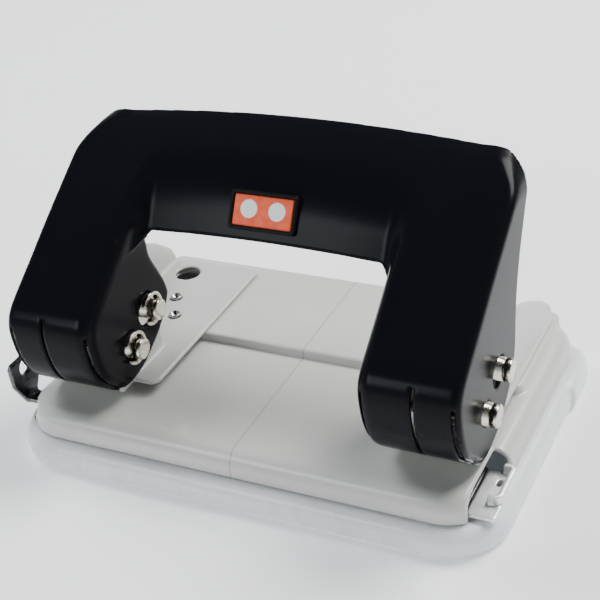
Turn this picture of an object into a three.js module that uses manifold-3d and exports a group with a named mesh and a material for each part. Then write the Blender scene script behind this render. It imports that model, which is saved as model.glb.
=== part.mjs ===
// Two-hole office punch: pressed steel lever on two punch frames, a stepped base plate,
// a sliding paper gauge and a clip-on chip tray.
// Millimetres. +X to the user's right, +Y to the back, +Z up. The origin lies on the table, on the
// punch's centre line, under the chip tray.
import * as THREE from 'three';
import { mergeVertices } from 'three/addons/utils/BufferGeometryUtils.js';
import Module from 'manifold-3d';

const wasm = await Module();
wasm.setup();

// ---------- driving dimensions ----------
const HOLE_PITCH = 80;                 // between the two punched holes (ISO 838)
const LEG_X = HOLE_PITCH / 2;          // each leg's punch line
const PUNCH_Y = -9.2;                  // punch axis, front to back
const PUNCH_R = 3;                     // 6 mm holes
const FIT = 0.3;                       // gap between parts that touch
const RUN = 0.15;                      // radial clearance of a turning fit

const SHEET = 1;                       // lever sheet
const LEVER_X = 49;                    // outer face of the outer side plates
const INNER_X = 28.6;                  // finger-side face of the inner side plates
const CORNER_R = 3;                    // fold between the front and the side plates
const CROWN = 2;                       // how far the top bulges up halfway across
const CROWN_X = 39;                    // half the width of that bulge

const PIN_R = 2.3;
const FULCRUM = { y: -17.4, z: 22.9 }; // pin that the lever turns on
const PUNCH_PIN_Z = 27.6;              // pin that pushes the punch, at rest
const PIN_INNER_X = 25.6;
const PIN_OUTER_X = 51.7;
const PUNCH_STROKE = 4.1;

const DECK_Z = 11.8;                   // paper bed
const STEP_Z = 13.8;                   // raised rear deck
const STEP_Y = 3.5;                    // riser that stops the paper
const BASE_X = 52.2;
const BASE_FRONT = -31.6;
const BASE_BACK = 35;
const BASE_CORNER = 9.5;
const BASE_ROUND = 3.6;                // rounding between the bed and the skirt
const BASE_SHEET = 1;
const SKIRT_Z = 6.1;                   // lower edge of the skirt, just above the tray

const FOOT_Z = STEP_Z + 0.2;           // underside of a punch frame's foot
const FOOT_T = 0.9;
const FRAME_WALL = 1.2;
const WALL_FRONT = -21.6;              // front edge of a punch frame's walls
const RIVETS = [[33.7, 6.4], [37.3, 13.2]]; // where each frame's foot is riveted to the rear deck
const RIVET_R = 0.9;
const FOOT_HOLE = { x: 40.4, y: 24, r: 3 };

const TRAY_LIP = 2.8;                  // how far the tray stands out beyond the skirt
const TRAY_X = BASE_X + TRAY_LIP;
const TRAY_CORNER = BASE_CORNER + TRAY_LIP;
const TRAY_TOP_Z = 5.8;
const TRAY_WALL = 1.4;
const TRAY_FLOOR = 1.6;
const GRIP_Y = 17.5;                   // behind this line the tray is wider by GRIP on each side
const GRIP = 0.8;

const GAUGE = { y0: -28, y1: -14, z: 6.3, t: 1, left: -56.4, right: 53.6 };

// ---------- colours and finishes ----------
const finish = (color, roughness, metalness) =>
  new THREE.MeshStandardMaterial({ color, roughness, metalness });
const MATERIALS = {
  lever: finish(0x0b0b0d, 0.22, 0.1),
  deck: finish(0xcfd0ca, 0.4, 0.1),
  frame: finish(0xc4c5c0, 0.45, 0.2),
  tray: finish(0xeef2f6, 0.3, 0),
  steel: finish(0x9a9a98, 0.35, 1),
  nickel: finish(0xc9bfae, 0.25, 1),
  chrome: finish(0xd8dadd, 0.1, 1),
  dark: finish(0x35373a, 0.4, 0.8),
  orange: finish(0xf0592b, 0.35, 0),
  black: finish(0x0a0a0a, 0.4, 0),
};

// ---------- solid helpers ----------
function toSolid(geometry) {
  const bare = geometry.clone();
  bare.deleteAttribute('normal');
  bare.deleteAttribute('uv');
  const merged = mergeVertices(bare, 1e-5);
  return new wasm.Manifold(new wasm.Mesh({
    numProp: 3,
    vertProperties: new Float32Array(merged.attributes.position.array),
    triVerts: new Uint32Array(merged.index.array),
  }));
}

function toGeometry(solid) {
  const mesh = solid.getMesh();
  const geometry = new THREE.BufferGeometry();
  geometry.setAttribute('position', new THREE.BufferAttribute(mesh.vertProperties.slice(), 3));
  geometry.setIndex(new THREE.BufferAttribute(mesh.triVerts.slice(), 1));
  geometry.computeVertexNormals();
  return geometry;
}

const joined = (solids) => solids.reduce((whole, next) => whole.add(next));
const cut = (solid, cutters) => cutters.reduce((left, cutter) => left.subtract(cutter), solid);

function block(x0, x1, y0, y1, z0, z1) {
  const geometry = new THREE.BoxGeometry(x1 - x0, y1 - y0, z1 - z0);
  geometry.translate((x0 + x1) / 2, (y0 + y1) / 2, (z0 + z1) / 2);
  return toSolid(geometry);
}

const outline = (points) => new THREE.Shape(points.map(([a, b]) => new THREE.Vector2(a, b)));

// A side outline in (y, z), stretched along x from x0 to x1, with its two ends rounded by `round`.
function sideGeometry(points, x0, x1, round = 0, steps = 1) {
  const geometry = new THREE.ExtrudeGeometry(outline(points), {
    steps,
    depth: x1 - x0 - 2 * round,
    bevelEnabled: round > 0,
    bevelSize: round,
    bevelOffset: -round,
    bevelThickness: round,
    bevelSegments: 3,
  });
  geometry.translate(0, 0, round);
  geometry.applyMatrix4(new THREE.Matrix4().set(0, 0, 1, x0, 1, 0, 0, 0, 0, 1, 0, 0, 0, 0, 0, 1));
  return geometry;
}

const sidePrism = (points, x0, x1, round) => toSolid(sideGeometry(points, x0, x1, round));

// A front outline in (x, z), stretched along y from y0 to y1.
function frontPrism(points, y0, y1) {
  const geometry = new THREE.ExtrudeGeometry(outline(points), { depth: y1 - y0, bevelEnabled: false });
  geometry.applyMatrix4(new THREE.Matrix4().set(1, 0, 0, 0, 0, 0, -1, y1, 0, 1, 0, 0, 0, 0, 0, 1));
  return toSolid(geometry);
}

// A plan outline, stretched upwards from z0 to z1, with its top edge rounded by `round`.
function planPrism(shape, z0, z1, round = 0) {
  const geometry = new THREE.ExtrudeGeometry(shape, {
    depth: z1 - z0 - (round > 0 ? 2 * round : 0),
    bevelEnabled: round > 0,
    bevelSize: round,
    bevelOffset: -round,
    bevelThickness: round,
    bevelSegments: 3,
    curveSegments: 5,
  });
  geometry.translate(0, 0, z0 + round);
  return toSolid(geometry);
}

function roundedPlan(x0, x1, y0, y1, radius) {
  const shape = new THREE.Shape();
  shape.moveTo(x0 + radius, y0);
  shape.lineTo(x1 - radius, y0).absarc(x1 - radius, y0 + radius, radius, -Math.PI / 2, 0, false);
  shape.lineTo(x1, y1 - radius).absarc(x1 - radius, y1 - radius, radius, 0, Math.PI / 2, false);
  shape.lineTo(x0 + radius, y1).absarc(x0 + radius, y1 - radius, radius, Math.PI / 2, Math.PI, false);
  shape.lineTo(x0, y0 + radius).absarc(x0 + radius, y0 + radius, radius, Math.PI, 1.5 * Math.PI, false);
  return shape;
}

// A round bar along x at (y, z).
function crossBar(x0, x1, y, z, radius, sides = 20) {
  const geometry = new THREE.CylinderGeometry(radius, radius, Math.abs(x1 - x0), sides);
  geometry.rotateZ(Math.PI / 2);
  geometry.translate((x0 + x1) / 2, y, z);
  return toSolid(geometry);
}

// A turned part about a vertical axis at (x, y), from its (radius, z) profile.
function turned(profile, x, y, sides = 24) {
  const points = profile.map(([r, z]) => new THREE.Vector2(r, z));
  const geometry = new THREE.LatheGeometry(points, sides);
  geometry.rotateX(Math.PI / 2);
  geometry.translate(x, y, 0);
  return toSolid(geometry);
}

const upright = (x, y, z0, z1, radius, sides = 24) =>
  turned([[0, z0], [radius, z0], [radius, z1], [0, z1]], x, y, sides);

function ring(x, y, z0, z1, inner, outer) {
  return upright(x, y, z0, z1, outer).subtract(upright(x, y, z0 - 1, z1 + 1, inner));
}

// A vertical or slanted slot through the plates between x0 and x1, from one (y, z) to another.
function slotAcross(x0, x1, from, to, radius) {
  const angle = Math.atan2(to.z - from.z, to.y - from.y);
  const shape = new THREE.Shape();
  shape.absarc(from.y, from.z, radius, angle + Math.PI / 2, angle + 1.5 * Math.PI, false);
  shape.absarc(to.y, to.z, radius, angle - Math.PI / 2, angle + Math.PI / 2, false);
  return sidePrism(shape.getPoints(5).map((p) => [p.x, p.y]), x0, x1);
}

const parts = new THREE.Group();
function addPart(name, solid, material) {
  const mesh = new THREE.Mesh(toGeometry(solid), material);
  mesh.name = name;
  parts.add(mesh);
}

// ---------- lever ----------
// Outer face of the lever over a leg, from the chin up over the front and top to the rear edge.
const LEG_FRONT = [
  [-25, 16.6], [-28.2, 20], [-30.2, 24.5], [-31, 29.5], [-30.8, 33], [-29.6, 35.5], [-27, 37.8],
  [-19.2, 43], [-12.1, 47.8], [-4.8, 52.5], [0.1, 55.6], [4, 58], [7.3, 59.9], [10.6, 61.4],
  [14, 62.2],
];
// Rear edge of an outer side plate, from the top down and forward to the chin.
const OUTER_REAR = [
  [14, 61.4], [13, 60], [11.9, 58.2], [10.6, 56], [9, 53.2], [7.4, 50.1], [4.4, 43.8], [1.9, 36], [0.6, 27.7],
  [-0.5, 24.3], [-3.2, 20.2], [-5.8, 17.9], [-10.5, 14.9], [-16.5, 13.4], [-21, 13.8],
];
// Rear edge of an inner side plate, from under the bridge down and forward to the chin.
const INNER_REAR = [
  [-6, 44.6], [-5.6, 42], [-5.4, 40], [-5.2, 37.1], [-3.1, 32.3], [-1.9, 29.4], [-1.2, 26.4],
  [-1.7, 24.9], [-4.5, 21.5], [-7.7, 19], [-10.6, 17.5], [-13.3, 16.2], [-17.4, 15.3], [-21.8, 15.6],
];
const BRIDGE_LIP = [-7.5, 44.6];       // lower edge of the band above the fingers
const BRIDGE_FOLD = [-1, 54.9];        // fold between that band and the top

const frontCurve = new THREE.SplineCurve(LEG_FRONT.map(([y, z]) => new THREE.Vector2(y, z)));
const frontPoints = frontCurve.getPoints(26).map((p) => [p.x, p.y]);

// The same line moved sideways by `distance`, to the right of its own direction.
function offsetLine(points, distance) {
  return points.map((point, i) => {
    const before = points[Math.max(i - 1, 0)];
    const after = points[Math.min(i + 1, points.length - 1)];
    const dy = after[0] - before[0];
    const dz = after[1] - before[1];
    const length = Math.hypot(dy, dz);
    return [point[0] + (dz / length) * distance, point[1] - (dy / length) * distance];
  });
}

function legSkin(side) {
  const x0 = side > 0 ? INNER_X : -LEVER_X;
  const x1 = side > 0 ? LEVER_X : -INNER_X;
  const overrun = [...frontPoints, [30, frontPoints.at(-1)[1]], [30, 0], [-18, 0]];
  return sidePrism(overrun, x0, x1, CORNER_R);
}

function legHollow(side) {
  const x0 = side > 0 ? INNER_X + SHEET : -LEVER_X + SHEET;
  const x1 = side > 0 ? LEVER_X - SHEET : -INNER_X - SHEET;
  const inner = offsetLine(frontPoints, SHEET);
  const roof = inner[inner.length - 1][1];
  return sidePrism([...inner, [40, roof], [40, -10], [-15, -10]], x0, x1, CORNER_R - SHEET);
}

// How much the bulge of the top lifts the sheet at (x, y); it fades out towards the chin.
function crownAt(x, y) {
  const across = Math.max(0, 1 - (x / CROWN_X) ** 2);
  return CROWN * across * THREE.MathUtils.smoothstep(y, -28, -5);
}

function bridge(inset) {
  const top = frontPoints.filter(([y]) => y > BRIDGE_FOLD[0]);
  const line = offsetLine([[-12, 37.5], BRIDGE_LIP, BRIDGE_FOLD, ...top], inset);
  const rear = line[line.length - 1][1];
  const reach = inset > 0 ? LEVER_X - 2 * CORNER_R : LEVER_X - CORNER_R;
  const geometry = sideGeometry([...line, [40, rear], [40, line[0][1]]], -reach, reach, 0, 16);
  const { position } = geometry.attributes;
  for (let i = 0; i < position.count; i += 1) {
    position.setZ(i, position.getZ(i) + crownAt(position.getX(i), position.getY(i)));
  }
  return toSolid(geometry);
}

// The opening between the legs, arched to follow the bulge, with two slanted upper corners.
function fingerOpening() {
  const chamfer = 3;
  const half = INNER_X - chamfer;
  const arch = [];
  for (let x = half; x >= -half; x -= half / 5) {
    arch.push([x, BRIDGE_LIP[1] + crownAt(x, BRIDGE_LIP[0])]);
  }
  const shoulder = arch[0][1] - chamfer;
  return frontPrism([
    [-INNER_X, -5], [INNER_X, -5], [INNER_X, shoulder], ...arch, [-INNER_X, shoulder],
  ], -60, 60);
}

function lever() {
  const skin = joined([legSkin(-1), legSkin(1), bridge(0)]);
  const hollow = joined([legHollow(-1), legHollow(1), bridge(SHEET)]);
  const beyond = sidePrism([
    [OUTER_REAR[0][0], 80], ...OUTER_REAR, [-29, 19.4], [-40, 19.4], [-40, -5], [60, -5], [60, 80],
  ], -LEVER_X - 1, LEVER_X + 1);
  const cutters = [hollow, fingerOpening(), beyond];
  for (const sign of [-1, 1]) {
    const near = Math.min(sign * (INNER_X - 1), sign * (INNER_X + SHEET + 1.5));
    const behind = [...INNER_REAR, [-21.8, 0], [50, 0], [50, BRIDGE_LIP[1]]];
    cutters.push(sidePrism(behind, near, near + SHEET + 2.5));
    cutters.push(...leverSlits(sign), ...leverPinHoles(sign));
  }
  return cut(skin, cutters);
}

// Three relief slits in the lower front of a leg: one on the punch line, one at each fold.
function leverSlits(sign) {
  const width = 0.7;
  const lines = [LEG_X, INNER_X + 1.2, LEVER_X - 1.2];
  return lines.map((x) => {
    const top = x === LEG_X ? 35 : 32.5;
    return block(sign * x - width / 2, sign * x + width / 2, -40, -23.6, 0, top);
  });
}

// The lever turns on the fulcrum pin and drives the punch pin in a short slot.
function leverPinHoles(sign) {
  const x0 = sign > 0 ? INNER_X - 2 : -LEVER_X - 2;
  const x1 = sign > 0 ? LEVER_X + 2 : 2 - INNER_X;
  const away = Math.hypot(PUNCH_Y - FULCRUM.y, PUNCH_PIN_Z - FULCRUM.z);
  const nearest = PUNCH_Y - FULCRUM.y;
  const shift = (nearest - 0.1) / away;
  const inner = {
    y: FULCRUM.y + (PUNCH_Y - FULCRUM.y) * shift,
    z: FULCRUM.z + (PUNCH_PIN_Z - FULCRUM.z) * shift,
  };
  return [
    crossBar(x0, x1, FULCRUM.y, FULCRUM.z, PIN_R + RUN),
    slotAcross(x0, x1, inner, { y: PUNCH_Y, z: PUNCH_PIN_Z }, PIN_R + 0.35),
  ];
}

addPart('handle_shell', lever(), MATERIALS.lever);

// ---------- badge on the bridge ----------
// A blank name plate: a coloured tile in a raised black frame, both lying on the bridge band.
function badgeTile(width, height, bottom, top) {
  const slope = Math.atan2(BRIDGE_FOLD[1] - BRIDGE_LIP[1], BRIDGE_FOLD[0] - BRIDGE_LIP[0]);
  const geometry = new THREE.BoxGeometry(width, height, top - bottom);
  geometry.translate(0, 0, (bottom + top) / 2);
  geometry.rotateX(slope);
  const y = (BRIDGE_LIP[0] + BRIDGE_FOLD[0]) / 2;
  geometry.translate(0, y, (BRIDGE_LIP[1] + BRIDGE_FOLD[1]) / 2 + crownAt(0, y));
  return toSolid(geometry);
}
const BADGE = { width: 14.7, height: 7.9, border: 0.7 };
const badgeInnerWidth = BADGE.width - 2 * BADGE.border;
const badgeInnerHeight = BADGE.height - 2 * BADGE.border;
addPart(
  'badge_frame',
  badgeTile(BADGE.width, BADGE.height, 0.15, 1).subtract(
    badgeTile(badgeInnerWidth, badgeInnerHeight, -1, 2),
  ),
  MATERIALS.black,
);
addPart(
  'badge_plate',
  badgeTile(badgeInnerWidth - 0.2, badgeInnerHeight - 0.2, 0.15, 0.75),
  MATERIALS.orange,
);

// ---------- base plate ----------
function basePlate() {
  const t = BASE_SHEET;
  const plan = roundedPlan(-BASE_X, BASE_X, BASE_FRONT, BASE_BACK, BASE_CORNER);
  const inside = roundedPlan(
    t - BASE_X, BASE_X - t, BASE_FRONT + t, BASE_BACK - t, BASE_CORNER - t,
  );
  const deckX = BASE_X - BASE_ROUND;
  const deckBack = BASE_BACK - 2;
  const deck = planPrism(roundedPlan(-deckX, deckX, STEP_Y, deckBack, 3), 7, STEP_Z, 0.8);
  const deckHollow = roundedPlan(t - deckX, deckX - t, STEP_Y + t, deckBack - t, 2);
  const notch = { y0: GAUGE.y0 - 1, y1: GAUGE.y1 + 0.6 };
  const cutters = [
    block(-80, 80, -80, 80, -10, SKIRT_Z),
    planPrism(inside, -6, DECK_Z - t, BASE_ROUND - t),
    planPrism(deckHollow, 5, STEP_Z - t),
    block(-0.3, 0.3, BASE_FRONT + 4, STEP_Y, DECK_Z - 0.3, DECK_Z + 1),
    block(-0.3, 0.3, STEP_Y - 1, deckBack - 1, STEP_Z - 0.3, STEP_Z + 1),
    block(48, 60, notch.y0, notch.y1, 0, 20),
    block(-60, -48, notch.y0, notch.y1, 0, 10.2),
  ];
  for (const sign of [-1, 1]) {
    cutters.push(upright(sign * LEG_X, PUNCH_Y, 0, 20, 4.4 + FIT));
    cutters.push(upright(sign * FOOT_HOLE.x, FOOT_HOLE.y, 0, 20, FOOT_HOLE.r + FIT));
    for (const [x, y] of RIVETS) cutters.push(upright(sign * x, y, 0, 20, RIVET_R + FIT));
  }
  return cut(planPrism(plan, -4, DECK_Z, BASE_ROUND).add(deck), cutters);
}

addPart('base_plate', basePlate(), MATERIALS.deck);

// ---------- punch units ----------
// Side outlines of a punch frame's two upright walls.
const OUTER_WALL = [
  [WALL_FRONT, FOOT_Z + 0.2], [28.6, FOOT_Z + 0.2], [29, 16.2], [27.8, 18.6], [22.7, 22.8],
  [12.8, 28.6], [6, 31.6], [-1, 33.4], [-14, 33.4], [-19, 31], [WALL_FRONT, 26.5],
];
const INNER_WALL = [
  [WALL_FRONT, FOOT_Z + 0.2], [-5, FOOT_Z + 0.2], [-4.2, 27], [-6.5, 32], [-10, 33.4], [-15, 33.4],
  [-19, 31], [WALL_FRONT, 26.5],
];

function punchFrame(sign) {
  const outerX = LEVER_X - SHEET - 0.4;
  const innerX = INNER_X + SHEET + 0.4;
  const wall = (points, x0) => sidePrism(points, x0, x0 + FRAME_WALL);
  const walls = sign > 0
    ? [wall(OUTER_WALL, outerX - FRAME_WALL), wall(INNER_WALL, innerX)]
    : [wall(OUTER_WALL, -outerX), wall(INNER_WALL, -innerX - FRAME_WALL)];
  const x0 = sign > 0 ? 24 : -outerX;
  const foot = planPrism(roundedPlan(x0, x0 + outerX - 24, -18, 30, 2), FOOT_Z, FOOT_Z + FOOT_T);
  const front = sign > 0 ? [innerX, outerX] : [-outerX, -innerX];
  const toe = block(front[0], front[1], WALL_FRONT, -15, FOOT_Z, FOOT_Z + FOOT_T);
  const cutters = [
    upright(sign * LEG_X, PUNCH_Y, 5, 20, PUNCH_R + RUN),
    upright(sign * FOOT_HOLE.x, FOOT_HOLE.y, 5, 20, FOOT_HOLE.r),
    crossBar(sign * 20, sign * 60, FULCRUM.y, FULCRUM.z, PIN_R + RUN),
    slotAcross(
      Math.min(sign * 20, sign * 60), Math.max(sign * 20, sign * 60),
      { y: PUNCH_Y, z: PUNCH_PIN_Z - PUNCH_STROKE - 0.1 }, { y: PUNCH_Y, z: PUNCH_PIN_Z + 0.1 },
      PIN_R + 0.25,
    ),
  ];
  for (const [x, y] of RIVETS) cutters.push(upright(sign * x, y, 5, 20, RIVET_R + FIT));
  return cut(joined([foot, toe, ...walls]), cutters);
}

// A rivet through the foot and the rear deck, with a flat head on both faces.
function rivet(x, y) {
  const low = STEP_Z - BASE_SHEET - FIT;
  const high = FOOT_Z + FOOT_T + 0.15;
  return turned([
    [0, low - 0.6], [1.5, low - 0.6], [1.5, low], [RIVET_R, low], [RIVET_R, high], [1.4, high],
    [1.2, high + 0.4], [0, high + 0.5],
  ], x, y, 14);
}

// A cutting die: a hardened ring set flush with the paper bed.
const die = (x) => ring(x, PUNCH_Y, DECK_Z - 3.4, DECK_Z, PUNCH_R + RUN, 4.4);

// The punch: a ground rod with a hollow-ground tip and a cross hole for its pin.
function punch(x) {
  const tip = FOOT_Z + 0.1;
  const head = 31.4;
  const body = turned([
    [0, tip + 0.8], [PUNCH_R, tip], [PUNCH_R, head - 0.5], [PUNCH_R - 0.5, head], [0, head],
  ], x, PUNCH_Y);
  return body.subtract(crossBar(x - 10, x + 10, PUNCH_Y, PUNCH_PIN_Z, PIN_R + RUN));
}

// A retaining ring: a flat open ring clipped on the finger side of a pin.
function retainingRing(sign, y, z) {
  const disc = crossBar(sign * 27.4, sign * 28.2, y, z, 3.7, 24);
  const bore = crossBar(sign * 26, sign * 30, y, z, PIN_R + RUN, 24);
  const x0 = Math.min(sign * 26, sign * 30);
  return cut(disc, [bore, block(x0, x0 + 4, y - 6, y, z - 1.6, z + 1.6)]);
}

// A coil spring of round wire standing round the punch.
class Helix extends THREE.Curve {
  constructor(x, y, z0, z1, radius, turns) {
    super();
    Object.assign(this, { x, y, z0, z1, radius, turns });
  }

  getPoint(t, target = new THREE.Vector3()) {
    const angle = t * this.turns * 2 * Math.PI;
    return target.set(
      this.x + this.radius * Math.cos(angle),
      this.y + this.radius * Math.sin(angle),
      this.z0 + (this.z1 - this.z0) * t,
    );
  }
}

const WASHER_Z = 23.9;
const SPRING = { foot: FOOT_Z + FOOT_T, wire: 0.42, radius: 4.15, turns: 4.5 };

function returnSpring(x) {
  const bottom = SPRING.foot + SPRING.wire + 0.15;
  const top = WASHER_Z - SPRING.wire - 0.15;
  const path = new Helix(x, PUNCH_Y, bottom, top, SPRING.radius, SPRING.turns);
  const section = new THREE.Shape();
  section.absarc(0, 0, SPRING.wire, 0, 2 * Math.PI, false);
  const geometry = new THREE.ExtrudeGeometry(section, {
    steps: 54, curveSegments: 3, extrudePath: path, bevelEnabled: false,
  });
  return toSolid(geometry);
}

for (const [side, sign] of [['left', -1], ['right', 1]]) {
  const x = sign * LEG_X;
  addPart(`punch_frame_${side}`, punchFrame(sign), MATERIALS.frame);
  RIVETS.forEach(([rx, ry], i) => {
    addPart(`rivet_${side}_${i + 1}`, rivet(sign * rx, ry), MATERIALS.steel);
  });
  addPart(`die_${side}`, die(x), MATERIALS.steel);
  addPart(
    `fulcrum_pin_${side}`,
    crossBar(sign * PIN_INNER_X, sign * PIN_OUTER_X, FULCRUM.y, FULCRUM.z, PIN_R),
    MATERIALS.nickel,
  );
  addPart(`fulcrum_ring_${side}`, retainingRing(sign, FULCRUM.y, FULCRUM.z), MATERIALS.nickel);
  addPart(`punch_${side}`, punch(x), MATERIALS.steel);
  addPart(
    `punch_pin_${side}`,
    crossBar(sign * PIN_INNER_X, sign * PIN_OUTER_X, PUNCH_Y, PUNCH_PIN_Z, PIN_R),
    MATERIALS.nickel,
  );
  addPart(`punch_ring_${side}`, retainingRing(sign, PUNCH_Y, PUNCH_PIN_Z), MATERIALS.nickel);
  addPart(
    `spring_washer_${side}`,
    ring(x, PUNCH_Y, WASHER_Z, WASHER_Z + 0.8, PUNCH_R + RUN, 5),
    MATERIALS.steel,
  );
  addPart(`return_spring_${side}`, returnSpring(x), MATERIALS.steel);
}

// ---------- paper gauge ----------
// The stop tab: a leaf folded up from the left end of the bar, wider at the top, with a hole.
function gaugeBar() {
  const top = GAUGE.z + GAUGE.t;
  const bar = block(GAUGE.left + 5.6, GAUGE.right - 6, GAUGE.y0, GAUGE.y1, GAUGE.z, top);
  const neck = block(GAUGE.left, GAUGE.left + 6, -22.8, -19, GAUGE.z, top);
  const leaf = sidePrism([
    [-22.6, GAUGE.z], [-19.2, GAUGE.z], [-16.2, 11.5], [-16, 16.4], [-16.9, 17.3], [-24.7, 17.3],
    [-25.6, 16.4], [-25.4, 11.5],
  ], GAUGE.left - 1, GAUGE.left + 0.2);
  const hole = crossBar(GAUGE.left - 5, GAUGE.left + 5, -20.8, 14.6, 1.9, 20);
  return joined([bar, neck, leaf]).subtract(hole);
}

// The finger pull: a plated plate, turned up along its outer edge behind a plain front corner.
function gaugePull() {
  const x0 = GAUGE.right - 6 + FIT;
  const x1 = GAUGE.right;
  const rimFront = GAUGE.y0 + 3.6;
  const rimTop = GAUGE.z + 3;
  return joined([
    block(x0, x1, GAUGE.y0, GAUGE.y1, GAUGE.z, GAUGE.z + GAUGE.t),
    block(x1 - 1, x1, rimFront, GAUGE.y1, GAUGE.z, rimTop),
    block(x1 - 2.4, x1, rimFront, rimFront + 1, GAUGE.z, rimTop),
    block(x1 - 2.4, x1, GAUGE.y1 - 1, GAUGE.y1, GAUGE.z, rimTop),
  ]);
}

addPart('gauge_bar', gaugeBar(), MATERIALS.dark);
addPart('gauge_pull', gaugePull(), MATERIALS.chrome);

// ---------- chip tray ----------
function chipTray() {
  const front = BASE_FRONT - TRAY_LIP;
  const back = BASE_BACK + TRAY_LIP;
  const body = (x) => planPrism(roundedPlan(-x, x, front, back, TRAY_CORNER), 0, TRAY_TOP_Z, 1.4);
  const grip = body(TRAY_X + GRIP).intersect(block(-80, 80, GRIP_Y, 80, -1, 20));
  const inset = (w) => roundedPlan(w - TRAY_X, TRAY_X - w, front + w, back - w, TRAY_CORNER - w);
  const mouth = TRAY_LIP + 1.3;
  return cut(joined([body(TRAY_X), grip]), [
    planPrism(inset(TRAY_WALL), TRAY_FLOOR, TRAY_TOP_Z - TRAY_WALL),
    planPrism(inset(mouth), TRAY_FLOOR, 20),
  ]);
}

addPart('chip_tray', chipTray(), MATERIALS.tray);

export default parts;
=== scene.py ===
# %% [markdown]
# # A two-hole punch, surface by surface
#
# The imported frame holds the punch's real parts: lever, punch frames, base plate, gauge and chip tray.
# Here each part gets the skin that it has on a desk: folded and painted sheet with soft bends, plated
# pins and clipped rings, ground punches and a moulded tray. Pressed and moulded parts could be built
# from boxes and bevels, but their folds, slots and holes meet at odd angles. A *distance formula* copes
# with all of that: it says how far a point is from the part's skin, and is negative inside the metal.
# One mesher turns any such formula into a closed mesh. Turned parts and springs are simpler, so they
# are a profile carried round an axis or along a helix.

# %% Open the frame
import math

import bpy
import numpy as np
from mathutils import Matrix, Vector


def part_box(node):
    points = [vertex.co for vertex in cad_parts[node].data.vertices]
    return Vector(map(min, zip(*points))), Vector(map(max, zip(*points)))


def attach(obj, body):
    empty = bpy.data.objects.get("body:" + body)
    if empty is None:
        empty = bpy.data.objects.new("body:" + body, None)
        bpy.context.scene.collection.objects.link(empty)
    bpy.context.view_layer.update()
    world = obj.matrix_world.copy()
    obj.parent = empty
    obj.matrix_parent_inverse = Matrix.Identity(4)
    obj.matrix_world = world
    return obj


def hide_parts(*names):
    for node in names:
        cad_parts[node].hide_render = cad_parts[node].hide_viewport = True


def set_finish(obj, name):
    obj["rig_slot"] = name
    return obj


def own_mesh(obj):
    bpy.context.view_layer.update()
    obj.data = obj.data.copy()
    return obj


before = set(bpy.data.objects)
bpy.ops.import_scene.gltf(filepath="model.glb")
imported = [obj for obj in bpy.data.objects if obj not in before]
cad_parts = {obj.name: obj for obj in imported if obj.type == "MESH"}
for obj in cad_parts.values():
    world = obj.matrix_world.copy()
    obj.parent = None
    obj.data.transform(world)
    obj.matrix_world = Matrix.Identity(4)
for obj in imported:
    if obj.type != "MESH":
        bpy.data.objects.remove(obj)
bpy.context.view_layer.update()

# %% [markdown]
# ## The camera
#
# It looks down at the punch from the front right, and is rolled a little clockwise. The three angles
# give its axes: `back` points from the punch to the lens, `right` is level, and `up` completes them.

# %% Aim the camera
MM = 0.001


def aim_camera(azimuth, elevation, roll, target, distance, focal):
    """Places the camera `distance` mm from `target` along the direction that the angles give.
    Its focal length is `focal` times the sensor's width."""
    az, el, tilt = (math.radians(angle) for angle in (azimuth, elevation, roll))
    back = Vector((math.sin(az) * math.cos(el), -math.cos(az) * math.cos(el), math.sin(el)))
    level = Vector((0, 0, 1)).cross(back).normalized()
    rise = back.cross(level)
    right = math.cos(tilt) * level + math.sin(tilt) * rise
    up = back.cross(right)
    data = bpy.data.cameras.new("camera")
    data.sensor_width = 36
    data.lens = focal * data.sensor_width
    data.clip_start = 0.01
    camera = bpy.data.objects.new("camera", data)
    bpy.context.scene.collection.objects.link(camera)
    turn = Matrix((right, up, back)).transposed().to_4x4()
    camera.matrix_world = Matrix.Translation((Vector(target) + distance * back) * MM) @ turn
    bpy.context.scene.camera = camera
    return camera


camera = aim_camera(azimuth=29.69, elevation=31.72, roll=-7.52, target=(5.33, -4.14, 32.22),
                    distance=265.63, focal=2.1882333)
print("camera at", [round(v / MM) for v in camera.location], "mm")

# %% [markdown]
# ## Distances and how they combine
#
# Two solids overlap where the larger of their distances is negative, and join where the smaller is.
# The rounded versions blend the two near their shared edge with a quarter circle, which is how a
# folded or moulded edge looks. All the formulas below are in millimetres.


# %% Distance tools
def round_max(a, b, radius):
    """Overlap of two solids: the larger distance, with a quarter circle of `radius` on the edge."""
    corner = np.hypot(np.maximum(a + radius, 0), np.maximum(b + radius, 0))
    return np.minimum(np.maximum(a, b), -radius) + corner


def round_min(a, b, radius):
    """Join of two solids: the mirror image of the overlap, with a fillet in the inner corner."""
    return -round_max(-a, -b, radius)


def slab(value, low, high):
    """Distance outside the stretch from low to high, negative within it."""
    return np.maximum(low - value, value - high)


def round_rect(x, y, half_x, half_y, radius):
    """Distance to a rectangle about the origin whose corners are arcs of `radius`."""
    dx = np.abs(x) - half_x + radius
    dy = np.abs(y) - half_y + radius
    return np.minimum(np.maximum(dx, dy), 0) + np.hypot(np.maximum(dx, 0), np.maximum(dy, 0)) - radius


def capsule(u, v, start, end, radius):
    """Distance to a slot: the distance to the segment from start to end, less the radius."""
    du, dv = end[0] - start[0], end[1] - start[1]
    along = ((u - start[0]) * du + (v - start[1]) * dv) / (du * du + dv * dv)
    along = np.clip(along, 0, 1)
    return np.hypot(u - start[0] - du * along, v - start[1] - dv * along) - radius


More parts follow.
